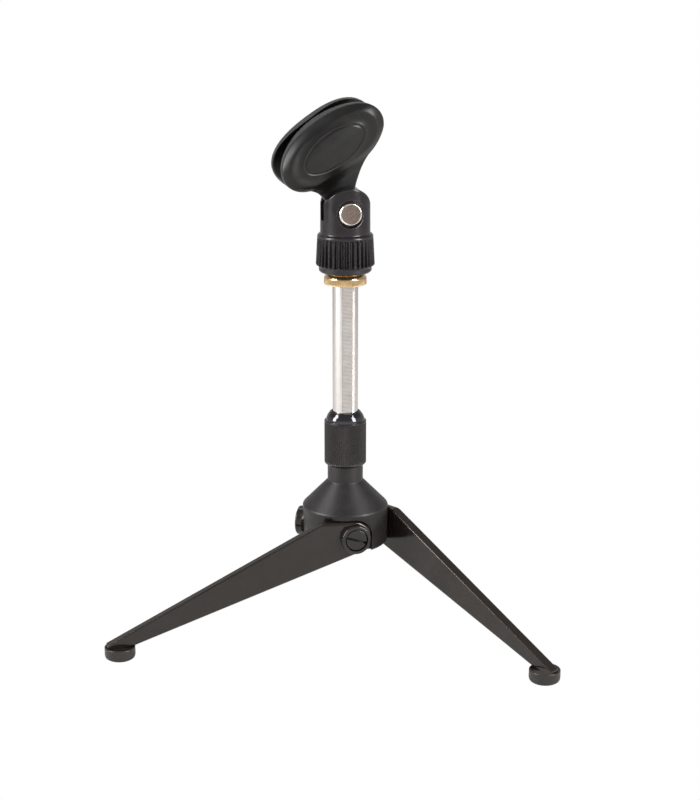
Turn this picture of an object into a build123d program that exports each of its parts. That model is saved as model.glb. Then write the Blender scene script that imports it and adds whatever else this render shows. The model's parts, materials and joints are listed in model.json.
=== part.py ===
from build123d import *
import math
import os

# Desktop microphone stand: a folding three-legged base, a sliding mast and a tilting mic clip.
# Frame: origin on the floor under the mast axis, +Z up, left leg along -X, clip pin along Y.

# Floor contact and legs. "Along" is the distance from the mast axis along a leg,
# "out" is the distance from the mast axis along the leg's pivot screw.
LEG_COUNT = 3
LEG_NAMES = ("left", "right", "rear")
LEG_STEP_DEG = 360 / LEG_COUNT
PIVOT_Z = 50.5
LEG_IN = 15.5
LEG_THICK = 5.0
LEG_MID = LEG_IN + LEG_THICK / 2
LEG_FACE = LEG_IN + LEG_THICK
LEG_END_R = 8.1
LEG_TOP_SLOPE = 0.50
LEG_TOP_FLAT = 15.9
LEG_LOW_SLOPE = 0.34
LEG_TOP_EDGE_R = 0.9
LEG_LOW_EDGE_R = 1.7
FOOT_ALONG = 112.7
FOOT_R = 7.2
FOOT_H = 5.8
FOOT_LOW_EDGE_R = 1.2
FOOT_TOP_EDGE_R = 0.35
PAD_R = 6.2
PAD_Z = (2.8, 5.5)

# Leg pivots: raised boss on the leg, shouldered slotted screw, thin friction washer.
BOSS_R = 7.05
BOSS_OUT = 23.6
BOSS_EDGE_R = 0.75
HEAD_POCKET_R = 5.5
HEAD_R = 5.1
HEAD_UNDER = 21.0
HEAD_FACE = 23.4
HEAD_EDGE_R = 0.5
HEAD_SLOT_W = 1.2
HEAD_SLOT_D = 1.7
HEAD_SLOT_DEG = (-19, 40, 75)
SHOULDER_R = 3.5
SHANK_R = 2.5
SHANK_IN = 9.3
WASHER_R = 6.2
WASHER_T = 0.3
RUN_GAP = 0.05
FIT_GAP = 0.02

# Hub: skirt with three leg pockets, cone, neck and threaded spigot.
HUB_BASE_Z = 42.6
HUB_BASE_R = 20.1
RIM_Z = 61.3
RIM_R = 20.5
RIM_CHAMFER = 0.5
CONE_TOP_Z = 73.8
NECK_R = 8.45
NECK_TOP_Z = 81.6
SPIGOT_R = 7.6
SPIGOT_TOP_Z = 95.0
POCKET_OUT = 15.15
POCKET_GAP = 0.6
POCKET_REACH = 30.0
NOTCH_ALONG = (10.5, 16.5)
NOTCH_RISE = 0.9
ROD_BORE_R = 6.1
BUSH_R = 7.58
BUSH_Z = (46.2, 60.0)

# Lock collar and the split collet that it squeezes onto the mast rod.
COLLAR_Z = (81.8, 103.4)
COLLAR_R = 9.95
COLLAR_RIDGES = 60
COLLAR_RIDGE_D = 0.3
COLLAR_CHAMFER = 0.9
NOSE_BASE_R = 9.1
NOSE_TOP_R = 6.9
NOSE_TOP_Z = 107.8
NOSE_MID = (8.5, 105.9)
MOUTH_R = 6.3
CHAMBER_R = 8.0
CHAMBER_Z = (95.5, 100.0, 104.0)
CHAMBER_TIP_R = 7.0
COLLET_Z = (95.0, 103.8)
COLLET_IN_R = 6.04
COLLET_GAP = 0.08
COLLET_R = CHAMBER_R - COLLET_GAP
COLLET_STEP = 0.3
COLLET_SLOT_W = 1.4

# Mast rod: one serrated flat, a groove for the stop ring, a threaded stud on top.
ROD_R = 6.0
ROD_Z = (43.3, 169.4)
ROD_FLAT_OUT = 5.47
ROD_FLAT_Z = 46.1
STUD_R = 4.7
STUD_TOP_Z = 179.5
RING_Z = (44.7, 45.9)
RING_IN_R = 5.4
RING_OUT_R = 7.2
RING_GAP_W = 4.0

# Brass thread adapter between the rod's stud and the clip.
FLANGE_TOP_Z = 172.6
FLANGE_R = 9.9
FLANGE_RIDGES = 72
FLANGE_RIDGE_D = 0.2
BEVEL_TOP_Z = 174.4
BEVEL_TOP_R = 8.7
THREAD_R = 7.9
THREAD_TOP_Z = 186.0

# Mic clip yoke: lip, ribbed collar, round clevis with a slot and a cross pin.
LIP_Z = 175.0
LIP_R = 12.3
LIP_EDGE = 0.8
RIBS_Z = (178.0, 191.5)
RIBS_LOW_R = 13.7
RIBS_TOP_R = 13.0
RIB_ROOT_R = 12.5
RIB_COUNT = 34
RIB_EDGE = 0.9
SHOULDER_TOP_Z = 193.0
SHOULDER_EDGE = 0.7
YOKE_R = 11.6
PIN_Z = 203.4
SLOT_W = 7.0
SLOT_ROUND_R = 9.8
SLOT_SILL = 3.9
INSERT_R = 9.6
INSERT_Z = (175.2, 187.0)
INSERT_SEAT_Z = 188.5
PIN_R = 2.5
PIN_HEAD_R = 5.25
PIN_HEAD_OUT = (9.3, 11.35)
PIN_HEAD_EDGE = 0.4
PIN_POCKET_R = 6.2
NUT_FLATS = 8.0
NUT_OUT = (8.6, 11.3)

# Mic holder, measured from the pin: x along the microphone, y towards it.
HOLDER_TILT = 34.8
TONGUE_W = 6.4
TONGUE_R = 9.2
OVAL_CENTRE = (10.6, 29.05)
OVAL_R = (26.7, 14.95)
OVAL_TOP_POWER = 2.3
OVAL_STEPS = 16
MIC_BORE_Y = 35.0
MIC_BORE_R = 9.0
JAW_R = 15.4
JAW_GAP = 2.4
STEM_BACK = ((-7.0, 5.9), (-5.2, 9.6), (-5.4, 13.2), (-9.0, 19.0))
STEM_FRONT = ((9.1, 1.2), (8.9, 5.6), (12.05, 8.85), (19.2, 13.75), (28.4, 18.4))
FLARE_START_Y = 12.3
FLARE_START_LEAN = 0.1
FLARE_END_LEAN = 0.35
FLARE_MID = (8.8, 18.8)
FLARE_END = (13.9, 28.6)

# OVERLAP is how far joined shapes run into each other, FAR is longer than any cut needs.
OVERLAP = 1.0
FAR = 60.0


def disc(radius, low, high):
    """Upright cylinder between two heights."""
    return Pos(0, 0, low) * Cylinder(radius, high - low, align=(Align.CENTER, Align.CENTER, Align.MIN))


def outward(radius, start, end, x=0.0, z=0.0):
    """Cylinder along -Y between two distances from the mast axis."""
    return extrude(Plane.XZ.offset(start) * Pos(x, z) * Circle(radius), end - start)


def turned(points):
    """Solid of revolution about the mast axis from (radius, height) points."""
    return revolve(Plane.XZ * make_face(Polyline(*points, close=True)), Axis.Z)


def ridged_bar(radius, depth, count, low, high):
    """Upright bar with straight ridges all round it."""
    points = []
    for i in range(2 * count):
        angle = math.pi * i / count
        r = radius - depth * (i % 2)
        points.append((r * math.cos(angle), r * math.sin(angle)))
    return extrude(Plane.XY.offset(low) * make_face(Polyline(*points, close=True)), high - low)


def around(shape, index):
    """Copy of a left-leg shape at the leg of the given index."""
    return Rot(0, 0, LEG_STEP_DEG * index) * shape


def leg_outline():
    """Side view of the left leg: round pivot end, level top, straight taper down to the pad."""
    top = PIVOT_Z + LEG_END_R
    low = PAD_Z[1] - OVERLAP
    tip_along = LEG_TOP_FLAT + (top - low) / LEG_TOP_SLOPE
    slant = math.hypot(1, LEG_LOW_SLOPE)
    touch_along = -LEG_END_R * LEG_LOW_SLOPE / slant
    touch_z = PIVOT_Z - LEG_END_R / slant
    low_along = touch_along + (touch_z - low) / LEG_LOW_SLOPE
    points = (
        (0, PIVOT_Z),
        (0, top),
        (-LEG_TOP_FLAT, top),
        (-tip_along, low),
        (-low_along, low),
        (-touch_along, touch_z),
    )
    return make_face(Polyline(*points, close=True)) + Pos(0, PIVOT_Z) * Circle(LEG_END_R)


def over_foot(shape):
    """A shape made on the origin's axis, moved over the left foot."""
    return Pos(-FOOT_ALONG, -LEG_MID, 0) * shape


def make_leg():
    bar = extrude(Plane.XZ.offset(LEG_IN) * leg_outline(), LEG_THICK)
    slopes = [edge for edge in bar.edges() if edge.length > FOOT_ALONG / 2]
    slopes.sort(key=lambda edge: edge.center().Z)
    bar = fillet(slopes[:2], LEG_LOW_EDGE_R)
    slopes = [edge for edge in bar.edges() if edge.length > FOOT_ALONG / 2]
    slopes.sort(key=lambda edge: edge.center().Z)
    bar = fillet(slopes[-2:], LEG_TOP_EDGE_R)
    inner_part = Pos(FAR - FOOT_ALONG, 0, 0) * Box(2 * FAR, 2 * FAR, 2 * FAR)
    bar &= inner_part + over_foot(disc(PAD_R, 0, FAR))
    boss = outward(BOSS_R, LEG_MID, BOSS_OUT, z=PIVOT_Z)
    boss = fillet(boss.faces().sort_by(Axis.Y)[0].edges(), BOSS_EDGE_R)
    leg = bar + over_foot(disc(PAD_R, *PAD_Z)) + boss
    leg -= outward(SHOULDER_R + RUN_GAP, 0, FAR, z=PIVOT_Z)
    leg -= outward(HEAD_POCKET_R, HEAD_UNDER - RUN_GAP, FAR, z=PIVOT_Z)
    return leg


def make_foot():
    foot = disc(FOOT_R, 0, FOOT_H) - disc(PAD_R + FIT_GAP, PAD_Z[0], FAR)
    foot = fillet(foot.edges().sort_by(Axis.Z)[0], FOOT_LOW_EDGE_R)
    rim = foot.faces().sort_by(Axis.Z)[-1]
    return over_foot(fillet(rim.edges(), FOOT_TOP_EDGE_R))


def make_pivot_screw(slot_deg):
    head = outward(HEAD_R, HEAD_UNDER, HEAD_FACE, z=PIVOT_Z)
    head = fillet(head.faces().sort_by(Axis.Y)[0].edges(), HEAD_EDGE_R)
    slot = Box(3 * HEAD_R, 2 * HEAD_SLOT_D, HEAD_SLOT_W)
    screw = head - Pos(0, -HEAD_FACE, PIVOT_Z) * Rot(0, -slot_deg, 0) * slot
    screw += outward(SHOULDER_R, POCKET_OUT, HEAD_UNDER + OVERLAP, z=PIVOT_Z)
    screw += outward(SHANK_R, SHANK_IN, POCKET_OUT + OVERLAP, z=PIVOT_Z)
    return screw


def make_leg_washer():
    ring = outward(WASHER_R, POCKET_OUT, POCKET_OUT + WASHER_T, z=PIVOT_Z)
    return ring - outward(SHOULDER_R + FIT_GAP, 0, FAR, z=PIVOT_Z)


def leg_pocket():
    """Space cut from the hub for the left leg's round end, its fold and its screw."""
    end_r = LEG_END_R + POCKET_GAP
    notch_mid = -sum(NOTCH_ALONG) / 2
    notch_w = NOTCH_ALONG[1] - NOTCH_ALONG[0]
    below = Pos((end_r - POCKET_REACH) / 2, PIVOT_Z - FAR / 2) * Rectangle(end_r + POCKET_REACH, FAR)
    beside = Pos(-POCKET_REACH / 2, PIVOT_Z) * Rectangle(POCKET_REACH, 2 * end_r)
    notch = Pos(notch_mid, PIVOT_Z) * Rectangle(notch_w, 2 * (end_r + NOTCH_RISE))
    outline = Pos(0, PIVOT_Z) * Circle(end_r) + below + beside + notch
    pocket = extrude(Plane.XZ.offset(POCKET_OUT) * outline, POCKET_REACH)
    return pocket + outward(SHANK_R + FIT_GAP, SHANK_IN - FIT_GAP, FAR, z=PIVOT_Z)


def make_hub():
    hub = turned((
        (0, HUB_BASE_Z),
        (HUB_BASE_R - 2 * RIM_CHAMFER, HUB_BASE_Z),
        (HUB_BASE_R, HUB_BASE_Z + 2 * RIM_CHAMFER),
        (RIM_R, RIM_Z - RIM_CHAMFER),
        (RIM_R - RIM_CHAMFER, RIM_Z + RIM_CHAMFER),
        (NECK_R, CONE_TOP_Z),
        (NECK_R, NECK_TOP_Z),
        (SPIGOT_R, NECK_TOP_Z),
        (SPIGOT_R, SPIGOT_TOP_Z),
        (0, SPIGOT_TOP_Z),
    ))
    hub -= disc(ROD_BORE_R, 0, FAR * 2)
    hub -= disc(BUSH_R + FIT_GAP, 0, BUSH_Z[1])
    for i in range(LEG_COUNT):
        hub -= around(leg_pocket(), i)
    return hub


def flat_side(out):
    """Everything beyond a flat that faces -Y at the given distance."""
    return Pos(0, -out - FAR / 2, 0) * Box(FAR, FAR, FAR * 6)


def make_guide_bush():
    bore = disc(ROD_R + RUN_GAP, 0, FAR * 2) - flat_side(ROD_FLAT_OUT + RUN_GAP)
    return disc(BUSH_R, *BUSH_Z) - bore


def make_collar():
    ridges = ridged_bar(COLLAR_R, COLLAR_RIDGE_D, COLLAR_RIDGES, *COLLAR_Z)
    low = COLLAR_Z[0]
    top = COLLAR_Z[1]
    ridges &= turned((
        (0, low),
        (COLLAR_R - COLLAR_CHAMFER, low),
        (COLLAR_R, low + COLLAR_CHAMFER),
        (COLLAR_R, top - COLLAR_CHAMFER / 2),
        (NOSE_BASE_R, top),
        (0, top),
    ))
    curve = ThreePointArc((NOSE_BASE_R, top), NOSE_MID, (NOSE_TOP_R, NOSE_TOP_Z))
    sides = Polyline(
        (NOSE_TOP_R, NOSE_TOP_Z),
        (0, NOSE_TOP_Z),
        (0, top - OVERLAP),
        (NOSE_BASE_R, top - OVERLAP),
        (NOSE_BASE_R, top),
    )
    nose = revolve(Plane.XZ * make_face(curve + sides), Axis.Z)
    collar = ridges + nose
    collar -= turned((
        (0, low - OVERLAP),
        (SPIGOT_R + RUN_GAP, low - OVERLAP),
        (SPIGOT_R + RUN_GAP, CHAMBER_Z[0]),
        (CHAMBER_R, CHAMBER_Z[0]),
        (CHAMBER_R, CHAMBER_Z[1]),
        (CHAMBER_TIP_R, CHAMBER_Z[2]),
        (MOUTH_R, CHAMBER_Z[2]),
        (MOUTH_R, NOSE_TOP_Z + OVERLAP),
        (0, NOSE_TOP_Z + OVERLAP),
    ))
    return collar


def make_collet():
    collet = turned((
        (COLLET_IN_R, COLLET_Z[0]),
        (COLLET_R - COLLET_STEP, COLLET_Z[0]),
        (COLLET_R - COLLET_STEP, CHAMBER_Z[0] + COLLET_GAP),
        (COLLET_R, CHAMBER_Z[0] + COLLET_GAP),
        (COLLET_R, CHAMBER_Z[1] - COLLET_GAP),
        (CHAMBER_TIP_R - COLLET_GAP, COLLET_Z[1]),
        (COLLET_IN_R, COLLET_Z[1]),
    ))
    return collet - Pos(0, FAR / 2, COLLET_Z[1]) * Box(COLLET_SLOT_W, FAR, FAR)


def make_rod():
    rod = disc(ROD_R, *ROD_Z) - Pos(0, 0, ROD_FLAT_Z + 3 * FAR) * flat_side(ROD_FLAT_OUT)
    rod -= disc(ROD_R + OVERLAP, *RING_Z) - disc(RING_IN_R, *RING_Z)
    return rod + disc(STUD_R, ROD_Z[1] - OVERLAP, STUD_TOP_Z)


def make_stop_ring():
    ring = disc(RING_OUT_R, *RING_Z) - disc(RING_IN_R + FIT_GAP, *RING_Z)
    return ring - Pos(0, RING_OUT_R, RING_Z[0]) * Box(RING_GAP_W, RING_OUT_R, FAR)


def make_adapter():
    flange = ridged_bar(FLANGE_R, FLANGE_RIDGE_D, FLANGE_RIDGES, ROD_Z[1], FLANGE_TOP_Z)
    upper = turned((
        (0, FLANGE_TOP_Z),
        (FLANGE_R - FLANGE_RIDGE_D, FLANGE_TOP_Z),
        (BEVEL_TOP_R, BEVEL_TOP_Z),
        (THREAD_R, BEVEL_TOP_Z),
        (THREAD_R, THREAD_TOP_Z),
        (0, THREAD_TOP_Z),
    ))
    return flange + upper - disc(STUD_R + FIT_GAP, 0, STUD_TOP_Z + OVERLAP)


def make_yoke():
    lip = turned((
        (0, LIP_Z),
        (LIP_R - LIP_EDGE, LIP_Z),
        (LIP_R, LIP_Z + LIP_EDGE),
        (LIP_R, RIBS_Z[0] + OVERLAP),
        (0, RIBS_Z[0] + OVERLAP),
    ))
    ribs = ridged_bar(RIBS_LOW_R, RIBS_LOW_R - RIB_ROOT_R, RIB_COUNT, *RIBS_Z)
    ribs &= turned((
        (0, RIBS_Z[0]),
        (RIBS_LOW_R - RIB_EDGE, RIBS_Z[0]),
        (RIBS_LOW_R, RIBS_Z[0] + RIB_EDGE),
        (RIBS_TOP_R, RIBS_Z[1]),
        (0, RIBS_Z[1]),
    ))
    shoulder = turned((
        (0, RIBS_Z[1] - OVERLAP),
        (RIBS_TOP_R, RIBS_Z[1] - OVERLAP),
        (RIBS_TOP_R, SHOULDER_TOP_Z - SHOULDER_EDGE),
        (RIBS_TOP_R - SHOULDER_EDGE, SHOULDER_TOP_Z),
        (0, SHOULDER_TOP_Z),
    ))
    ears = Pos(0, PIN_Z) * Circle(YOKE_R) + Pos(0, PIN_Z - FAR / 4) * Rectangle(2 * YOKE_R, FAR / 2)
    clevis = disc(YOKE_R, RIBS_Z[1] - OVERLAP, PIN_Z + YOKE_R) & extrude(Plane.XZ * ears, FAR, both=True)
    yoke = lip + ribs + shoulder + clevis
    sill = Pos(0, PIN_Z - SLOT_SILL + FAR / 2) * Rectangle(FAR, FAR)
    slot = sill + Pos(0, PIN_Z) * Circle(SLOT_ROUND_R)
    yoke -= extrude(Plane.XZ * slot, SLOT_W / 2, both=True)
    yoke -= disc(INSERT_R + FIT_GAP, 0, INSERT_SEAT_Z)
    yoke -= outward(PIN_R + FIT_GAP, -FAR, FAR, z=PIN_Z)
    yoke -= outward(PIN_POCKET_R, PIN_HEAD_OUT[0], FAR, z=PIN_Z)
    yoke -= outward(PIN_POCKET_R, -FAR, -NUT_OUT[0], z=PIN_Z)
    return yoke


def make_thread_insert():
    return disc(INSERT_R, *INSERT_Z) - disc(THREAD_R + RUN_GAP, 0, FAR * 4)


def make_pin_screw():
    head = outward(PIN_HEAD_R, *PIN_HEAD_OUT, z=PIN_Z)
    head = fillet(head.faces().sort_by(Axis.Y)[0].edges(), PIN_HEAD_EDGE)
    return head + outward(PIN_R, -NUT_OUT[1] + RUN_GAP, PIN_HEAD_OUT[0] + OVERLAP, z=PIN_Z)


def make_pin_nut():
    hexagon = RegularPolygon(NUT_FLATS / 2, 6, major_radius=False)
    nut = extrude(Plane.XZ.offset(-NUT_OUT[1]) * Pos(0, PIN_Z) * hexagon, NUT_OUT[1] - NUT_OUT[0])
    return nut - outward(PIN_R + FIT_GAP, -FAR, 0, z=PIN_Z)


def jaw_outline():
    """Oval jaw in side view, a little squarer above its long axis than below it."""
    upper = []
    for i in range(OVAL_STEPS + 1):
        angle = math.pi * i / OVAL_STEPS
        along = abs(math.cos(angle)) ** (2 / OVAL_TOP_POWER) * math.copysign(1, math.cos(angle))
        across = abs(math.sin(angle)) ** (2 / OVAL_TOP_POWER)
        upper.append((OVAL_CENTRE[0] + OVAL_R[0] * along, OVAL_CENTRE[1] + OVAL_R[1] * across))
    top = Spline(*upper)
    return make_face(top + Line(upper[-1], upper[0])) + Pos(*OVAL_CENTRE) * Ellipse(*OVAL_R)


def holder_side():
    """Side view of the holder: round tongue, flaring stem and oval jaw."""
    back = Spline(*STEM_BACK)
    top = Line(STEM_BACK[-1], STEM_FRONT[-1])
    front = Spline(*STEM_FRONT)
    root = Line(STEM_FRONT[0], STEM_BACK[0])
    stem = make_face(back + top + front + root)
    return Circle(TONGUE_R) + stem + jaw_outline()


def holder_front():
    """Front view of the holder: flat tongue that flares into a round jaw."""
    half = TONGUE_W / 2
    lean = ((FLARE_START_LEAN, 1), (FLARE_END_LEAN, 1))
    right = Spline((half, FLARE_START_Y), FLARE_MID, FLARE_END, tangents=lean)
    base = Polyline((half, FLARE_START_Y), (half, -FAR / 2), (0, -FAR / 2), (0, MIC_BORE_Y))
    flare = make_face(right + base + Line((0, MIC_BORE_Y), FLARE_END))
    return Pos(0, MIC_BORE_Y) * Circle(JAW_R) + flare + mirror(flare, Plane.YZ)


def make_holder():
    holder = extrude(Plane.XZ * holder_side(), FAR, both=True)
    holder &= extrude(Plane.YZ * holder_front(), FAR, both=True)
    holder -= extrude(Plane.YZ * Pos(0, MIC_BORE_Y) * Circle(MIC_BORE_R), FAR, both=True)
    holder -= Pos(0, 0, MIC_BORE_Y + FAR / 2) * Box(2 * FAR, JAW_GAP, FAR)
    holder -= outward(PIN_R + RUN_GAP, -FAR, FAR)
    return Pos(0, 0, PIN_Z) * Rot(0, -HOLDER_TILT, 0) * holder


def all_parts():
    parts = {
        "hub_body": make_hub(),
        "rod_guide_bush": make_guide_bush(),
        "lock_collet": make_collet(),
        "lock_collar": make_collar(),
        "mast_rod": make_rod(),
        "rod_stop_ring": make_stop_ring(),
        "thread_adapter": make_adapter(),
        "clip_yoke": make_yoke(),
        "clip_thread_insert": make_thread_insert(),
        "clip_pin_screw": make_pin_screw(),
        "clip_pin_nut": make_pin_nut(),
        "mic_holder": make_holder(),
    }
    leg = make_leg()
    foot = make_foot()
    washer = make_leg_washer()
    for i, name in enumerate(LEG_NAMES):
        parts["leg_" + name] = around(leg, i)
        parts["rubber_foot_" + name] = around(foot, i)
        parts["leg_washer_" + name] = around(washer, i)
        parts["leg_pivot_screw_" + name] = around(make_pivot_screw(HEAD_SLOT_DEG[i]), i)
    return parts


os.makedirs("parts", exist_ok=True)
for node, shape in all_parts().items():
    export_step(shape, f"parts/{node}.step")
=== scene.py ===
import json
import math

import bmesh
import bpy
import numpy as np
from mathutils import Matrix, Vector


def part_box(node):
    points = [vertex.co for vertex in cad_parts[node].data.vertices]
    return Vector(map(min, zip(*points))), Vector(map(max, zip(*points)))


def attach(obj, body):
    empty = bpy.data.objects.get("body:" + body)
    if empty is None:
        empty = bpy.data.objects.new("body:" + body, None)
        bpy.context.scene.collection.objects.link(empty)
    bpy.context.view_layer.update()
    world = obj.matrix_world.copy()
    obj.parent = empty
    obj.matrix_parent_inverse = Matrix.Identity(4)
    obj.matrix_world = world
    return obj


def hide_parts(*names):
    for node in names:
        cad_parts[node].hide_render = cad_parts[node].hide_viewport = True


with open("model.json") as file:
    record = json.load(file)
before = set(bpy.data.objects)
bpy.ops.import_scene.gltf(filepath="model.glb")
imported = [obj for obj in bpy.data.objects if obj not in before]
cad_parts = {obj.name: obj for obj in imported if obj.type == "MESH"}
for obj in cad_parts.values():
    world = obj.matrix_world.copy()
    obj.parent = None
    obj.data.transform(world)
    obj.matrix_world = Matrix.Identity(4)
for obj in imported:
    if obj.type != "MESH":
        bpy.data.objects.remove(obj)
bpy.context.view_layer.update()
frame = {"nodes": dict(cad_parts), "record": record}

MM = 0.001
NODES = frame["nodes"]


# ---------------------------------------------------------------- materials
class Finish:
    """A procedural material that is built node by node on a Principled shader."""

    def __init__(self, name, base, rough, metallic=0.0, specular=0.5):
        self.mat = bpy.data.materials.new(name)
        self.mat.use_nodes = True
        self.tree = self.mat.node_tree
        self.shader = self.tree.nodes["Principled BSDF"]
        self.shader.inputs["Base Color"].default_value = (*base, 1)
        self.shader.inputs["Roughness"].default_value = rough
        self.shader.inputs["Metallic"].default_value = metallic
        self.shader.inputs["Specular IOR Level"].default_value = specular
        self.place = self.node("ShaderNodeTexCoord").outputs["Object"]

    def node(self, kind, **values):
        made = self.tree.nodes.new(kind)
        for key, value in values.items():
            setattr(made, key, value)
        return made

    def link(self, start, end):
        self.tree.links.new(start, end)

    def stretched(self, scale):
        """Object coordinates, stretched by a factor along each axis."""
        mapping = self.node("ShaderNodeMapping")
        mapping.inputs["Scale"].default_value = scale
        self.link(self.place, mapping.inputs["Vector"])
        return mapping.outputs["Vector"]

    def noise(self, size_mm, detail=4.0, place=None, rough=0.55):
        """Noise whose blotches are about size_mm across."""
        made = self.node("ShaderNodeTexNoise")
        made.inputs["Scale"].default_value = 1 / (size_mm * MM)
        made.inputs["Detail"].default_value = detail
        made.inputs["Roughness"].default_value = rough
        self.link(place or self.place, made.inputs["Vector"])
        return made.outputs["Fac"]

    def spans(self, value, low, high, start=0.35, end=0.65):
        """A value of 0 to 1 spread over a range."""
        made = self.node("ShaderNodeMapRange")
        made.inputs["From Min"].default_value = start
        made.inputs["From Max"].default_value = end
        made.inputs["To Min"].default_value = low
        made.inputs["To Max"].default_value = high
        self.link(value, made.inputs["Value"])
        return made.outputs["Result"]

    def mix(self, factor, first, second):
        """Mix of two colours, each a triple or a socket."""
        made = self.node("ShaderNodeMix", data_type="RGBA")
        self.link(factor, made.inputs["Factor"])
        for key, colour in (("A", first), ("B", second)):
            socket = [s for s in made.inputs if s.name == key and s.type == "RGBA"][0]
            if isinstance(colour, tuple):
                socket.default_value = (*colour, 1)
            else:
                self.link(colour, socket)
        return [s for s in made.outputs if s.type == "RGBA"][0]

    def bump(self, height, depth_mm):
        """Fine relief of a depth in millimetres, for the shader's normal."""
        made = self.node("ShaderNodeBump")
        made.inputs["Strength"].default_value = 1.0
        made.inputs["Distance"].default_value = depth_mm * MM
        self.link(height, made.inputs["Height"])
        return made.outputs["Normal"]

    def height(self):
        """Height above the floor, in metres."""
        parts = self.node("ShaderNodeSeparateXYZ")
        self.link(self.place, parts.inputs["Vector"])
        return parts.outputs["Z"]

    def above(self, level):
        """0 below a height in millimetres and 1 above it."""
        return self.spans(self.height(), 0, 1, (level - 0.15) * MM, (level + 0.15) * MM)

    def distance(self, centre, keep):
        """Distance in metres from a point given in millimetres, along the axes to keep."""
        away = self.node("ShaderNodeVectorMath", operation="SUBTRACT")
        self.link(self.place, away.inputs[0])
        away.inputs[1].default_value = [value * MM for value in centre]
        flat = self.node("ShaderNodeVectorMath", operation="MULTIPLY")
        self.link(away.outputs["Vector"], flat.inputs[0])
        flat.inputs[1].default_value = keep
        size = self.node("ShaderNodeVectorMath", operation="LENGTH")
        self.link(flat.outputs["Vector"], size.inputs[0])
        return size.outputs["Value"]

    def blend(self, factor, first, second):
        """Mix of two values, each a number or a socket."""
        made = self.node("ShaderNodeMix", data_type="FLOAT")
        self.link(factor, made.inputs["Factor"])
        for key, value in (("A", first), ("B", second)):
            socket = [s for s in made.inputs if s.name == key and s.type == "VALUE"][0]
            if isinstance(value, float):
                socket.default_value = value
            else:
                self.link(value, socket)
        return [s for s in made.outputs if s.type == "VALUE"][0]

    def colour(self, socket):
        self.link(socket, self.shader.inputs["Base Color"])

    def roughness(self, socket):
        self.link(socket, self.shader.inputs["Roughness"])

    def normal(self, socket):
        self.link(socket, self.shader.inputs["Normal"])


# Tones that the polished ends of the collar and the adapter take, and the edge of the cross pin.
POLISHED_BLACK = (0.073, 0.071, 0.078)
POLISHED_BRASS = (0.68, 0.48, 0.26)
POLISHED_NICKEL = (0.78, 0.73, 0.66)
BLACK_POLISH = 0.05
BRASS_POLISH = 0.13
NICKEL_POLISH = 0.12
RIB_GLOSS = (0.2, 0.28)
TURNED_SPECULAR = 0.46

# Heights in millimetres where the finish changes, and the distances from the pin's middle.
COLLAR_NOSE = 4.4
COLLAR_NOSE_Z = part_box("lock_collar")[1].z / MM - COLLAR_NOSE
FLANGE_BEVEL_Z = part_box("thread_adapter")[0].z / MM + 3.2
YOKE_SHOULDER_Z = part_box("clip_yoke")[0].z / MM + 19
PIN_EDGE = (4.45 * MM, 4.6 * MM)


def painted(name, dark, light, rough, peel_mm, peel_depth, matt_below=None, specular=0.5):
    """Black paint or moulding: faint blotches, uneven gloss and fine texture, duller below a height."""
    f = Finish(name, dark, sum(rough) / 2, specular=specular)
    f.colour(f.mix(f.spans(f.noise(7), 0, 1), dark, light))
    rubbed = f.spans(f.noise(5, 6), *rough)
    if matt_below:
        rubbed = f.blend(f.above(matt_below), f.spans(f.noise(5, 6), *RIB_GLOSS), rubbed)
    f.roughness(rubbed)
    f.normal(f.bump(f.noise(peel_mm, 2), peel_depth))
    return f.mat


def turned_black(name, dark, light, rough, polish_above=None):
    """Blackened turned metal: fine tool rings, and a polished end above a height."""
    f = Finish(name, dark, sum(rough) / 2, specular=TURNED_SPECULAR)
    tone = f.mix(f.spans(f.noise(6), 0, 1), dark, light)
    rings = f.noise(0.45, 2, f.stretched((0.02, 0.02, 1)))
    rubbed = f.spans(f.noise(4, 6), *rough)
    if polish_above:
        polished = f.above(polish_above)
        tone = f.mix(polished, tone, POLISHED_BLACK)
        rubbed = f.blend(polished, rubbed, BLACK_POLISH)
        f.link(polished, f.shader.inputs["Metallic"])
    f.colour(tone)
    f.roughness(rubbed)
    f.normal(f.bump(rings, 0.001 if polish_above else 0.004))
    return f.mat


def bright_metal(name, dark, light, rough, polish_above=None):
    """Bare or plated metal, polished brighter above a height."""
    f = Finish(name, light, sum(rough) / 2, metallic=1.0)
    tone = f.mix(f.spans(f.noise(4), 0, 1), dark, light)
    rubbed = f.spans(f.noise(3, 6), *rough)
    if polish_above:
        polished = f.above(polish_above)
        tone = f.mix(polished, tone, POLISHED_BRASS)
        rubbed = f.blend(polished, rubbed, BRASS_POLISH)
    f.colour(tone)
    f.roughness(rubbed)
    f.normal(f.bump(f.noise(0.4, 3), 0.004))
    return f.mat


def pin_metal(name):
    """Plated pin: a dull grainy face inside a polished edge."""
    low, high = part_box("clip_pin_screw")
    f = Finish(name, (0.25, 0.19, 0.16), 0.4, metallic=1.0)
    edge = f.spans(f.distance((low + high) / 2 / MM, (1, 0, 1)), 0, 1, *PIN_EDGE)
    grain = f.spans(f.noise(0.55, 5), 0, 1, 0.3, 0.7)
    face = f.mix(grain, (0.10, 0.077, 0.064), (0.25, 0.2, 0.17))
    f.colour(f.mix(edge, face, POLISHED_NICKEL))
    f.roughness(f.blend(edge, f.spans(grain, 0.45, 0.32, 0, 1), NICKEL_POLISH))
    f.normal(f.bump(grain, 0.012))
    return f.mat


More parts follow.
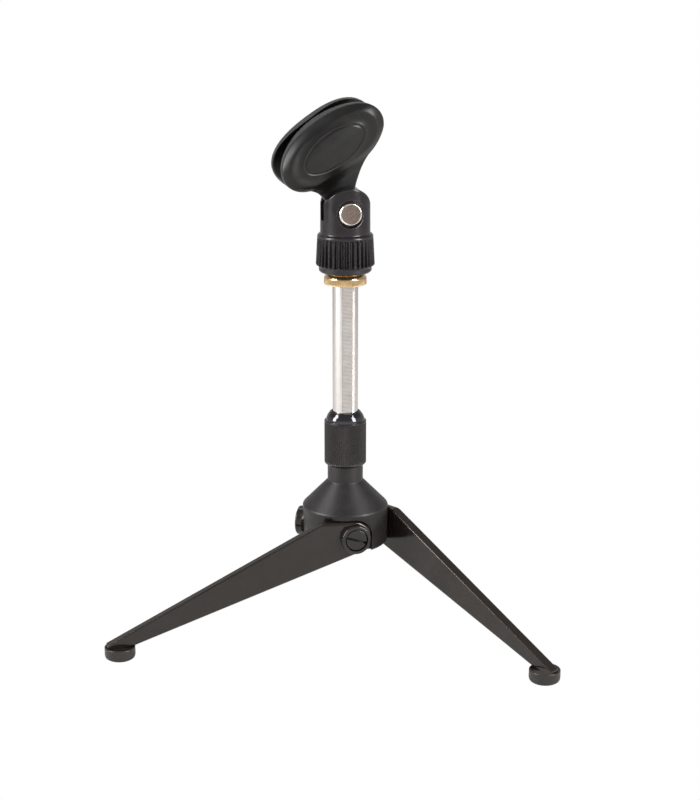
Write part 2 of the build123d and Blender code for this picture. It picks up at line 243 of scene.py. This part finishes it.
# Each row: name, darker tone, lighter tone, range of roughness, then the size and depth of the texture
# in millimetres for the painted ones, and the height where the finish changes.
FINISHES = {
    "black_leg_paint": painted(
        "leg_paint", (0.0108, 0.0074, 0.0056), (0.0145, 0.0104, 0.0082), (0.12, 0.19), 1.1, 0.012),
    "black_casting": turned_black(
        "hub_paint", (0.0055, 0.0038, 0.0038), (0.0085, 0.0064, 0.0064), (0.4, 0.5)),
    "black_collar": turned_black(
        "collar_finish", (0.0068, 0.0042, 0.004), (0.0098, 0.0068, 0.0066), (0.26, 0.34), COLLAR_NOSE_Z),
    "black_screw": painted(
        "screw_oxide", (0.008, 0.0064, 0.006), (0.012, 0.0098, 0.0092), (0.14, 0.22), 0.5, 0.005),
    "black_moulding": painted(
        "clip_plastic", (0.007, 0.0048, 0.0062), (0.0105, 0.0075, 0.0092), (0.14, 0.22), 1.6, 0.008,
        YOKE_SHOULDER_Z),
    "black_soft_moulding": painted(
        "holder_rubber", (0.0022, 0.0016, 0.0014), (0.0044, 0.0036, 0.0033), (0.33, 0.41), 0.3, 0.007,
        specular=0.4),
    "black_nylon": painted(
        "bush_nylon", (0.014, 0.014, 0.014), (0.022, 0.022, 0.022), (0.35, 0.45), 0.6, 0.01),
    "black_rubber": painted(
        "foot_rubber", (0.014, 0.011, 0.009), (0.02, 0.016, 0.0135), (0.26, 0.36), 0.4, 0.01),
    "white_nylon": painted(
        "white_nylon", (0.62, 0.61, 0.57), (0.70, 0.69, 0.66), (0.4, 0.5), 0.6, 0.01),
    "chrome_rod": bright_metal(
        "rod_chrome", (0.635, 0.602, 0.58), (0.695, 0.665, 0.645), (0.09, 0.16)),
    "spring_steel": bright_metal(
        "ring_steel", (0.45, 0.44, 0.43), (0.55, 0.54, 0.53), (0.25, 0.35)),
    "brass": bright_metal(
        "turned_brass", (0.40, 0.275, 0.14), (0.48, 0.345, 0.19), (0.3, 0.4), FLANGE_BEVEL_Z),
    "nickel": pin_metal("pin_nickel"),
}

slot_of = {row["node"]: row["material_slot"] for row in frame["record"]["subparts"]}
for name, obj in NODES.items():
    obj.data.materials.clear()
    obj.data.materials.append(FINISHES[slot_of[name]])


# ---------------------------------------------------------------- mesh tools
# Points nearer than this are one point, in metres.
SAME_POINT = 0.002 * MM


def span(node):
    """Lowest and highest corner of a CAD node, in millimetres."""
    low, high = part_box(node)
    return low / MM, high / MM


def rounded(points, steps=6):
    """Rounds the corners of an open profile of (radius, height) or (radius, height, corner radius)."""
    path = []
    for i, point in enumerate(points):
        here = Vector(point[:2])
        if len(point) < 3 or i in (0, len(points) - 1):
            path.append(here)
            continue
        before = Vector(points[i - 1][:2]) - here
        after = Vector(points[i + 1][:2]) - here
        half = before.angle(after) / 2
        reach = min(point[2] / math.tan(half), before.length * 0.49, after.length * 0.49)
        start = before.normalized() * reach
        end = after.normalized() * reach
        middle = (start + end).normalized() * reach / math.cos(half)
        first = start - middle
        last = end - middle
        turn = first.angle_signed(last)
        for k in range(steps + 1):
            share = Matrix.Rotation(-turn * k / steps, 2)
            path.append(here + middle + share @ first)
    return path


def new_piece(name, verts, faces, angle=40):
    """Mesh object from points in millimetres, smooth but for edges sharper than the angle."""
    mesh = bpy.data.meshes.new(name)
    mesh.from_pydata([Vector(v) * MM for v in verts], [], faces)
    bm = bmesh.new()
    bm.from_mesh(mesh)
    bmesh.ops.recalc_face_normals(bm, faces=bm.faces)
    bm.to_mesh(mesh)
    bm.free()
    obj = bpy.data.objects.new(name, mesh)
    bpy.context.scene.collection.objects.link(obj)
    shade(obj, angle)
    return obj


def shade(obj, angle):
    mesh = obj.data
    mesh.shade_smooth()
    mesh.set_sharp_from_angle(angle=math.radians(angle))


def lathe(name, profile, turns=144, ripple=None, angle=40):
    """Solid turned about Z. A profile that doesn't start and end on the axis is closed into a ring."""
    closed = profile[0][0] > 0
    verts = []
    rings = []
    for radius, height in profile:
        if radius < 1e-6:
            rings.append([len(verts)] * turns)
            verts.append((0, 0, height))
            continue
        rings.append(range(len(verts), len(verts) + turns))
        for k in range(turns):
            a = 2 * math.pi * k / turns
            r = radius - (ripple(a, radius, height) if ripple else 0)
            verts.append((r * math.cos(a), r * math.sin(a), height))
    faces = []
    pairs = list(zip(rings, rings[1:])) + ([(rings[-1], rings[0])] if closed else [])
    for lower, upper in pairs:
        for k in range(turns):
            n = (k + 1) % turns
            corners = [lower[k], lower[n], upper[n], upper[k]]
            face = list(dict.fromkeys(corners))
            if len(face) > 2:
                faces.append(face)
    return new_piece(name, verts, faces, angle)


def prism(name, outline, low, high):
    """Upright prism of an (x, y) outline."""
    n = len(outline)
    verts = [(x, y, z) for z in (low, high) for x, y in outline]
    faces = [list(range(n))[::-1], list(range(n, 2 * n))]
    faces += [[k, (k + 1) % n, n + (k + 1) % n, n + k] for k in range(n)]
    return new_piece(name, verts, faces)


def place(obj, matrix):
    """Moves a piece's own points, given in millimetres."""
    move = matrix.copy()
    move.translation *= MM
    obj.data.transform(move)
    return obj


def settle(obj, angle=None):
    """Turns a piece and its modifiers into one plain mesh."""
    graph = bpy.context.evaluated_depsgraph_get()
    mesh = bpy.data.meshes.new_from_object(obj.evaluated_get(graph))
    obj.modifiers.clear()
    obj.data = mesh
    mesh.name = obj.name
    if angle:
        shade(obj, angle)
    return obj


def cut(obj, tools, operation="DIFFERENCE"):
    for tool in tools:
        made = obj.modifiers.new("cut", "BOOLEAN")
        made.operation = operation
        made.solver = "EXACT"
        made.object = tool
    settle(obj)
    for tool in tools:
        bpy.data.objects.remove(tool)
    return obj


def soften(obj, width, segments=3, limit=35, angle=40):
    """Rounds a piece's sharp edges."""
    bm = bmesh.new()
    bm.from_mesh(obj.data)
    bmesh.ops.remove_doubles(bm, verts=bm.verts, dist=SAME_POINT)
    bmesh.ops.dissolve_degenerate(bm, dist=SAME_POINT, edges=bm.edges)
    bm.to_mesh(obj.data)
    bm.free()
    made = obj.modifiers.new("bevel", "BEVEL")
    made.width = width * MM
    made.segments = segments
    made.limit_method = "ANGLE"
    made.angle_limit = math.radians(limit)
    made.use_clamp_overlap = True
    return settle(obj, angle)


def moulded(name, node, voxel, smoothing):
    """A CAD node's shape as one soft-edged moulding."""
    obj = bpy.data.objects.new(name, NODES[node].data.copy())
    obj.data.materials.clear()
    bpy.context.scene.collection.objects.link(obj)
    bm = bmesh.new()
    bm.from_mesh(obj.data)
    bmesh.ops.remove_doubles(bm, verts=bm.verts, dist=SAME_POINT)
    bm.to_mesh(obj.data)
    bm.free()
    remesh = obj.modifiers.new("remesh", "REMESH")
    remesh.mode = "VOXEL"
    remesh.voxel_size = voxel * MM
    smooth = obj.modifiers.new("smooth", "SMOOTH")
    smooth.factor = 0.5
    smooth.iterations = smoothing
    return settle(obj, 180)


def finish_piece(obj, body, slot, *nodes):
    """Puts a piece on its body, with its slot's material, in place of CAD nodes."""
    obj.data.materials.clear()
    obj.data.materials.append(FINISHES[slot])
    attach(obj, body)
    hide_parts(*nodes)
    return obj


def step(value, start, end):
    """0 before start, 1 after end, smooth between."""
    t = min(max((value - start) / (end - start), 0), 1)
    return t * t * (3 - 2 * t)


# ---------------------------------------------------------------- lock collar and adapter
COLLAR_R = 9.95
COLLAR_RIDGES = 60
COLLAR_RIDGE_DEPTH = 0.3


def make_collar():
    low, high = span("lock_collar")
    z, top = low.z, high.z
    edge = top - COLLAR_NOSE

    def knurl(a, radius, height):
        if radius < 9.3:
            return 0
        inside = step(height, z + 0.9, z + 1.7) * (1 - step(height, edge - 1.3, edge - 0.5))
        return COLLAR_RIDGE_DEPTH * inside * (0.5 + 0.5 * math.cos(COLLAR_RIDGES * a)) ** 0.8

    grip = [(COLLAR_R, z + 0.9 + 0.1 * k) for k in range(9)] + [(COLLAR_R, z + 5 * k) for k in (1, 2, 3)]
    grip += [(COLLAR_R, edge - 1.4 + 0.1 * k) for k in range(10)]
    foot = rounded([(7.65, z), (9.2, z, 0.25), (COLLAR_R, z + 0.8, 0.3), (COLLAR_R, z + 0.9)])
    nose = rounded([
        (COLLAR_R, edge - 0.5), (COLLAR_R, edge - 0.2, 0.2), (9.45, edge, 0.1), (9.1, edge, 0.12),
        (8.95, edge + 1.3, 2.5), (8.35, edge + 2.7, 2.5), (7.3, top - 0.3, 1.2), (6.9, top, 0.35),
        (6.3, top, 0.25), (6.3, top - 1),
    ], 8)
    inside = [(6.3, top - 3.8), (7.0, top - 3.8), (8.0, top - 7.8), (8.0, top - 12.3), (7.65, top - 12.3)]
    collar = lathe("collar_knurled", foot + grip + nose + inside, 10 * COLLAR_RIDGES, knurl)
    finish_piece(collar, "collar", "black_collar", "lock_collar")


FLANGE_R = 9.9
FLANGE_RIDGES = 72
FLANGE_RIDGE_DEPTH = 0.2
THREAD_PITCH = 0.94
THREAD_TURNS = 11


def make_adapter():
    low, high = span("thread_adapter")
    z, top = low.z, high.z

    def knurl(a, radius, height):
        if radius < 9.6:
            return 0
        inside = step(height, z + 0.25, z + 0.55) * (1 - step(height, z + 2.65, z + 2.95))
        return FLANGE_RIDGE_DEPTH * inside * (0.5 + 0.5 * math.cos(FLANGE_RIDGES * a))

    band = [(FLANGE_R, z + 0.25 + 0.06 * k) for k in range(6)] + [(FLANGE_R, z + 1.6)]
    band += [(FLANGE_R, z + 2.65 + 0.06 * k) for k in range(6)]
    underside = rounded([(4.75, z), (9.6, z, 0.2), (FLANGE_R, z + 0.2)], 4)
    bevel = rounded([
        (FLANGE_R, z + 3.0), (9.85, z + 3.2, 0.12), (8.75, z + 5, 0.2), (8.05, z + 5, 0.2), (7.55, z + 5.6),
    ], 5)
    thread = []
    for k in range(THREAD_TURNS):
        up = THREAD_PITCH * k
        thread += [(7.55, z + 5.75 + up), (7.9, z + 6.15 + up), (7.9, z + 6.28 + up)]
    shell = underside + band + bevel + thread + [(7.3, top), (4.75, top)]
    adapter = lathe("adapter_brass", shell, 8 * FLANGE_RIDGES, knurl)
    finish_piece(adapter, "mast", "brass", "thread_adapter")


# ---------------------------------------------------------------- mast rod
SERRATION_PITCH = 0.65
SERRATION_DEPTH = 0.16


def make_rod():
    low, high = span("mast_rod")
    flat = 5.47
    radius = 6.0
    shoulder = high.z - 10.1
    corner = math.asin(flat / radius)
    angles = [-math.pi / 2 + (math.pi / 2 - corner) * (k / 3) for k in range(-3, 4)]
    rest = 2 * corner + math.pi
    angles += [-corner + rest * k / 66 for k in range(1, 66)]
    rows = [(low.z, 5.6, flat + 1), (low.z + 0.4, 6, flat + 1), (low.z + 1.4, 6, flat + 1)]
    rows += [(low.z + 1.4, 5.4, flat + 1), (low.z + 2.6, 5.4, flat + 1), (low.z + 2.6, 6, flat + 1)]
    rows += [(low.z + 2.8, 6, flat + 1), (low.z + 2.8, 6, flat)]
    root = flat - SERRATION_DEPTH
    z = low.z + 3.4
    while z + SERRATION_PITCH < shoulder - 1:
        rows += [(z, 6, flat), (z + 0.26, 6, flat), (z + 0.42, 6, root), (z + 0.49, 6, root)]
        z += SERRATION_PITCH
    rows += [(z, 6, flat), (shoulder - 0.2, 6, flat), (shoulder, 5.8, flat - 0.2)]
    rows += [(shoulder, 4.68, 6), (high.z - 0.5, 4.68, 6), (high.z, 4.2, 6)]
    verts = []
    for height, r, limit in rows:
        for a in angles:
            verts.append((r * math.cos(a), max(-limit, r * math.sin(a)), height))
    n = len(angles)
    faces = [list(range(n)), list(range(len(verts) - n, len(verts)))]
    for k in range(len(rows) - 1):
        for m in range(n):
            p = (m + 1) % n
            faces.append([k * n + m, k * n + p, (k + 1) * n + p, (k + 1) * n + m])
    rod = new_piece("rod_serrated", verts, faces, 25)
    finish_piece(rod, "mast", "chrome_rod", "mast_rod")


# ---------------------------------------------------------------- hub
def leg_turn(index):
    return Matrix.Rotation(2 * math.pi / 3 * index, 4, "Z")


# Turns a lathe's axis from up to outward, along -Y.
OUTWARD = Matrix(((1, 0, 0, 0), (0, 0, -1, 0), (0, 1, 0, 0), (0, 0, 0, 1)))
POCKET_R = 8.1
POCKET_GAP = 0.6
POCKET_FLOOR = 15.15


def make_hub():
    low, high = span("hub_body")
    z, top = low.z, high.z
    pivot = sum(span("leg_pivot_screw_left"), Vector()).z / 2
    shell = rounded([
        (7.6, z), (8.0, z, 0.3), (19.1, z, 0.8), (20.1, z + 1.0, 0.8), (20.45, z + 18.0, 1.5),
        (20.5, z + 18.5, 0.45), (20.1, z + 19.2, 0.4), (8.45, z + 31.2, 0.5), (8.45, z + 39.0, 0.25),
        (7.6, z + 39.0, 0.1), (7.6, top, 0.4), (6.1, top),
    ]) + [(6.1, z + 17.4), (7.6, z + 17.4)]
    hub = lathe("hub_casting", shell, 192)
    reach = POCKET_R + POCKET_GAP
    outline = [(reach * math.cos(a), reach * math.sin(a)) for a in [math.pi / 2 * k / 24 for k in range(25)]]
    outline += [(-10.5, reach), (-10.5, reach + 0.9), (-16.5, reach + 0.9), (-16.5, reach)]
    outline += [(-34, reach), (-34, -30), (reach, -30)]
    tools = []
    for i in range(3):
        tool = prism("pocket", outline, POCKET_FLOOR, 40)
        place(tool, leg_turn(i) @ Matrix.Translation((0, 0, pivot)) @ OUTWARD)
        tools.append(tool)
    cut(hub, tools)
    soften(hub, 0.35, 3, 32)
    finish_piece(hub, "base", "black_casting", "hub_body")


# ---------------------------------------------------------------- leg screws
# How far each screw's slot stands from level, in degrees.
SLOT_ANGLES = (("left", -19), ("right", 40), ("rear", 75))


def make_leg_screws():
    low, high = span("leg_pivot_screw_left")
    pivot = (low.z + high.z) / 2
    face = -low.y
    for i, (name, slot_deg) in enumerate(SLOT_ANGLES):
        profile = rounded([
            (0, 0), (3.4, -0.02, 9), (5.1, -0.12, 0.5), (5.1, -2.4, 0.15), (3.5, -2.4), (3.5, -8.25, 0.1),
            (2.5, -8.25), (2.5, -13.7), (2.1, -14.1), (0, -14.1),
        ], 8)
        screw = lathe("leg_screw_" + name, profile, 96)
        groove = prism("slot", [(-6, -0.6), (6, -0.6), (6, 0.6), (-6, 0.6)], -1.75, 2)
        place(groove, Matrix.Rotation(math.radians(slot_deg), 4, "Z"))
        cut(screw, [groove])
        soften(screw, 0.14, 3, 40)
        place(screw, leg_turn(i) @ Matrix.Translation((0, -face, pivot)) @ OUTWARD)
        finish_piece(screw, "base", "black_screw", "leg_pivot_screw_" + name)


# ---------------------------------------------------------------- rubber feet
def make_feet():
    for name in ("left", "right", "rear"):
        low, high = span("rubber_foot_" + name)
        middle = (low + high) / 2
        profile = rounded([
            (0, 0.5), (2.2, 0.5, 0.2), (2.6, 0.1, 0.2), (3.4, 0.1, 0.2), (3.8, 0.45, 0.15),
            (4.3, 0.45, 0.15), (4.7, 0, 0.25), (5.9, 0, 0.5), (6.9, 0.65, 1.2), (7.2, 1.9, 1.2),
            (7.2, 4.6), (7.2, 5.8, 0.42), (6.22, 5.8, 0.3), (6.22, 2.8), (0, 2.8),
        ], 6)
        foot = lathe("foot_cap_" + name, profile, 128)
        place(foot, Matrix.Translation((middle.x, middle.y, low.z)))
        finish_piece(foot, "leg_" + name, "black_rubber", "rubber_foot_" + name)


# ---------------------------------------------------------------- clip
NUT_CORNER_R = 8 / math.sqrt(3)


def make_pin():
    low, high = span("clip_pin_screw")
    pin = (low.z + high.z) / 2
    out = -low.y
    length = high.y - low.y
    profile = rounded([
        (0, -0.22), (4.3, -0.22, 0.2), (4.55, 0, 0.12), (4.85, 0, 0.3), (5.25, -0.45, 0.2), (5.25, -2.05, 0.12),
        (2.5, -2.05), (2.5, -length + 0.4), (2.1, -length), (0, -length),
    ], 5)
    rivet = lathe("clip_pin_head", profile, 96)
    place(rivet, Matrix.Translation((0, -out, pin)) @ OUTWARD)
    finish_piece(rivet, "clip_base", "nickel", "clip_pin_screw")
    near, far = span("clip_pin_nut")
    thick = far.y - near.y
    turns = [math.pi / 3 * k for k in range(6)]
    hexagon = [(NUT_CORNER_R * math.cos(a), NUT_CORNER_R * math.sin(a)) for a in turns]
    nut = prism("clip_nut", hexagon, 0, thick)
    domed = [(0, 0), (4.15, 0), (4.7, 0.35), (4.7, thick - 0.35), (4.15, thick), (0, thick)]
    cut(nut, [lathe("dome", rounded(domed), 96)], "INTERSECT")
    bored = [(0, -1), (2.9, -0.4), (2.52, 0.4), (2.52, thick - 0.3), (3.0, thick + 0.3), (0, thick + 1)]
    cut(nut, [lathe("hole", bored, 48)])
    soften(nut, 0.1, 2, 30)
    place(nut, Matrix.Translation((0, near.y, pin)) @ Matrix.Rotation(-math.pi / 2, 4, "X"))
    finish_piece(nut, "clip_base", "nickel", "clip_pin_nut")


def read_points(obj):
    """A mesh's points in millimetres, as an array."""
    points = np.empty(len(obj.data.vertices) * 3)
    obj.data.vertices.foreach_get("co", points)
    return points.reshape(-1, 3) / MM


def write_points(obj, points):
    obj.data.vertices.foreach_set("co", (points * MM).ravel())
    obj.data.update()


def ease(values, start, end):
    """The same as step(), on an array."""
    t = np.clip((values - start) / (end - start), 0, 1)
    return t * t * (3 - 2 * t)


YOKE_RIBS = 34
RIB_ROOT_R = 11.95
RIB_POWER = 2.2


def make_yoke():
    yoke = moulded("yoke_moulding", "clip_yoke", 0.21, 16)
    low, high = span("clip_yoke")
    points = read_points(yoke)
    z = points[:, 2] - low.z
    radius = np.hypot(points[:, 0], points[:, 1])
    angle = np.arctan2(points[:, 1], points[:, 0])
    share = np.clip((z - 3.9) / 12.6, 0, 1)
    crest = 13.7 - 0.7 * share
    ridge = (0.5 + 0.5 * np.cos(YOKE_RIBS * angle)) ** RIB_POWER
    ribbed = RIB_ROOT_R + (crest - RIB_ROOT_R) * ridge
    zone = ease(z, 3.1, 3.8) * (1 - ease(z, 15.6, 16.5)) * (radius > 11.4)
    wanted = radius + (ribbed - radius) * zone
    points[:, :2] *= (wanted / np.maximum(radius, 1e-6))[:, None]
    write_points(yoke, points)
    finish_piece(yoke, "clip_base", "black_moulding", "clip_yoke")


RIM_ROUND = 4.2
RIM_ROLL = 2.5
BORE_R = 9.0
JAW_R = 15.4


def make_holder():
    """The jaws and stem: rolled rims, a dished oval pad in a trough, and a raised lower edge."""
    holder = moulded("holder_moulding", "mic_holder", 0.3, 8)
    low, high = span("clip_pin_screw")
    pin = np.array(((low.x + high.x) / 2, 0, (low.z + high.z) / 2))
    mount = [m for m in frame["record"]["mounts"] if m["name"] == "mic_bore"][0]
    along = np.array(mount["axis"])
    across = np.array((-along[2], 0, along[0]))
    points = read_points(holder)
    u = (points - pin) @ along
    v = (points - pin) @ across
    mount_v = (np.array(mount["pos_m"]) / MM - pin) @ across
    side = np.sign(points[:, 1])
    rise = v - mount_v
    inside = np.sqrt(np.maximum(BORE_R ** 2 - rise ** 2, 0)) * (rise > -BORE_R)
    outside = np.sqrt(np.maximum(JAW_R ** 2 - rise ** 2, 16))
    outer = np.clip((np.abs(points[:, 1]) - inside) / (outside - inside) * 1.15, 0, 1)
    outer *= np.clip(np.abs(points[:, 1]) / 4 - 1, 0, 1)

    def oval(centre, radii, power=2):
        """Each point's size against an oval, 1 on its line, and its distance outside it."""
        du, dv = u - centre[0], v - centre[1]
        top = np.where(dv > 0, power, 2)
        size = ((np.abs(du) / radii[0]) ** top + (np.abs(dv) / radii[1]) ** top) ** (1 / top) + 1e-6
        return size, np.hypot(du, dv) * (1 - 1 / size)

    inner, from_inner = oval((10.4, 29.3), (15.8, 7.7))
    from_edge = oval((10.6, 29.05), (26.7, 14.95), 2.3)[1]
    jaw = np.clip(ease(v, 15, 21) + ease(-u, 2, 8) * ease(v, 8, 14), 0, 1)
    roll = RIM_ROLL * np.clip(1 + from_edge / RIM_ROUND, 0, 1) ** 1.45
    trough = np.exp(-(((from_inner - 3.0) / 2.4) ** 2)) * ease(from_inner, 0, 1.5)
    shift = -0.5 * jaw * trough - roll * jaw
    lower = ease(-v, -24, -17)
    raised = 0.4 * np.exp(-(((from_edge + 1.8) / 1.5) ** 2))
    sunk = 0.6 * np.exp(-(((from_edge - 2.6) / 2.2) ** 2))
    shift += lower * (raised - sunk)
    shift += np.where(inner < 1, 0.5 * (1 - inner ** 2) - 0.1, 0)
    shift += -0.45 * np.exp(-((from_inner / 0.45) ** 2))
    points[:, 1] += side * outer * shift
    write_points(holder, points)
    finish_piece(holder, "clip_head", "black_soft_moulding", "mic_holder")


make_collar()
make_adapter()
make_rod()
make_hub()
make_leg_screws()
make_feet()
make_pin()
make_yoke()
make_holder()


# ---------------------------------------------------------------- stage
scene = bpy.context.scene
scene.view_settings.view_transform = "Standard"
# The camera looks from this bearing, and the lights keep their places beside it.
TURN = Matrix.Rotation(math.radians(-13.45), 3, "Z")
AIM = (0, 0, 0.1)
DOME_TOP = 0.38
DOME_BACK = 0.65
FLOOR_HALF = 1.5


def light_world(tree):
    """A white backdrop to look at, and a dome to light by, dimmer overhead and behind the object."""
    def made(kind, **values):
        node = tree.nodes.new(kind)
        for key, value in values.items():
            setattr(node, key, value)
        return node

    def ramp(socket, start, end, low, high):
        node = made("ShaderNodeMapRange", interpolation_type="SMOOTHSTEP")
        for key, value in (("From Min", start), ("From Max", end), ("To Min", low), ("To Max", high)):
            node.inputs[key].default_value = value
        tree.links.new(socket, node.inputs["Value"])
        return node.outputs["Result"]

    def facing(direction):
        node = made("ShaderNodeVectorMath", operation="DOT_PRODUCT")
        tree.links.new(made("ShaderNodeTexCoord").outputs["Generated"], node.inputs[0])
        node.inputs[1].default_value = direction
        return node.outputs["Value"]

    dome = made("ShaderNodeMath", operation="MULTIPLY")
    tree.links.new(ramp(facing((0, 0, 1)), 0.0, 0.6, 1.0, DOME_TOP), dome.inputs[0])
    tree.links.new(ramp(facing(TURN @ Vector((0, 1, 0))), -0.2, 0.7, 1.0, DOME_BACK), dome.inputs[1])
    seen = tree.nodes["Background"]
    unseen = made("ShaderNodeBackground")
    tree.links.new(dome.outputs["Value"], unseen.inputs["Strength"])
    both = made("ShaderNodeMixShader")
    tree.links.new(made("ShaderNodeLightPath").outputs["Is Camera Ray"], both.inputs["Fac"])
    tree.links.new(unseen.outputs["Background"], both.inputs[1])
    tree.links.new(seen.outputs["Background"], both.inputs[2])
    tree.links.new(both.outputs["Shader"], tree.nodes["World Output"].inputs["Surface"])
    for background in (seen, unseen):
        background.inputs["Color"].default_value = (1, 1, 1, 1)


world = bpy.data.worlds.new("studio")
scene.world = world
world.use_nodes = True
light_world(world.node_tree)

# The floor lights and mirrors the object from below, and the camera sees the white backdrop instead.
floor_mesh = bpy.data.meshes.new("studio_floor")
corners = [(x * FLOOR_HALF, y * FLOOR_HALF, 0) for x, y in ((-1, -1), (1, -1), (1, 1), (-1, 1))]
floor_mesh.from_pydata(corners, [], [(0, 1, 2, 3)])
floor = bpy.data.objects.new("studio_floor", floor_mesh)
scene.collection.objects.link(floor)
floor_finish = Finish("floor_paper", (0.6, 0.6, 0.6), 0.9)
grain = floor_finish.noise(0.8, 4)
floor_finish.colour(floor_finish.mix(grain, (0.65, 0.64, 0.63), (0.67, 0.66, 0.65)))
floor_mesh.materials.append(floor_finish.mat)
floor.visible_camera = False


def softbox(name, direction, distance, size, radiance):
    """Area light of a size in metres that faces the object from a direction seen by the camera."""
    lamp = bpy.data.lights.new(name, "AREA")
    lamp.shape = "RECTANGLE"
    lamp.size, lamp.size_y = size
    lamp.energy = radiance * math.pi * size[0] * size[1]
    obj = bpy.data.objects.new(name, lamp)
    scene.collection.objects.link(obj)
    towards = (TURN @ Vector(direction)).normalized()
    obj.location = Vector(AIM) + towards * distance
    obj.rotation_euler = towards.to_track_quat("Z", "Y").to_euler()


softbox("softbox_left", (-0.86, -0.28, 0.44), 1.0, (0.34, 0.85), 13.6)
softbox("softbox_right", (0.77, -0.48, 0.44), 1.0, (0.34, 0.85), 13)
softbox("softbox_top", (-0.2, 0.6, 0.85), 1.1, (0.8, 0.3), 2)

CAMERA_PLACE = (-0.1907, -0.7975, 0.3444)
FOCAL_MM = 80.87
SENSOR_MM = 36
FRAME_SHIFT = (0.0059, 0.03275)

lens = bpy.data.cameras.new("camera")
camera = bpy.data.objects.new("camera", lens)
scene.collection.objects.link(camera)
lens.lens = FOCAL_MM
lens.sensor_width = SENSOR_MM
lens.shift_x, lens.shift_y = FRAME_SHIFT
camera.location = CAMERA_PLACE
camera.rotation_euler = (Vector(CAMERA_PLACE) - Vector(AIM)).to_track_quat("Z", "Y").to_euler()
scene.camera = camera
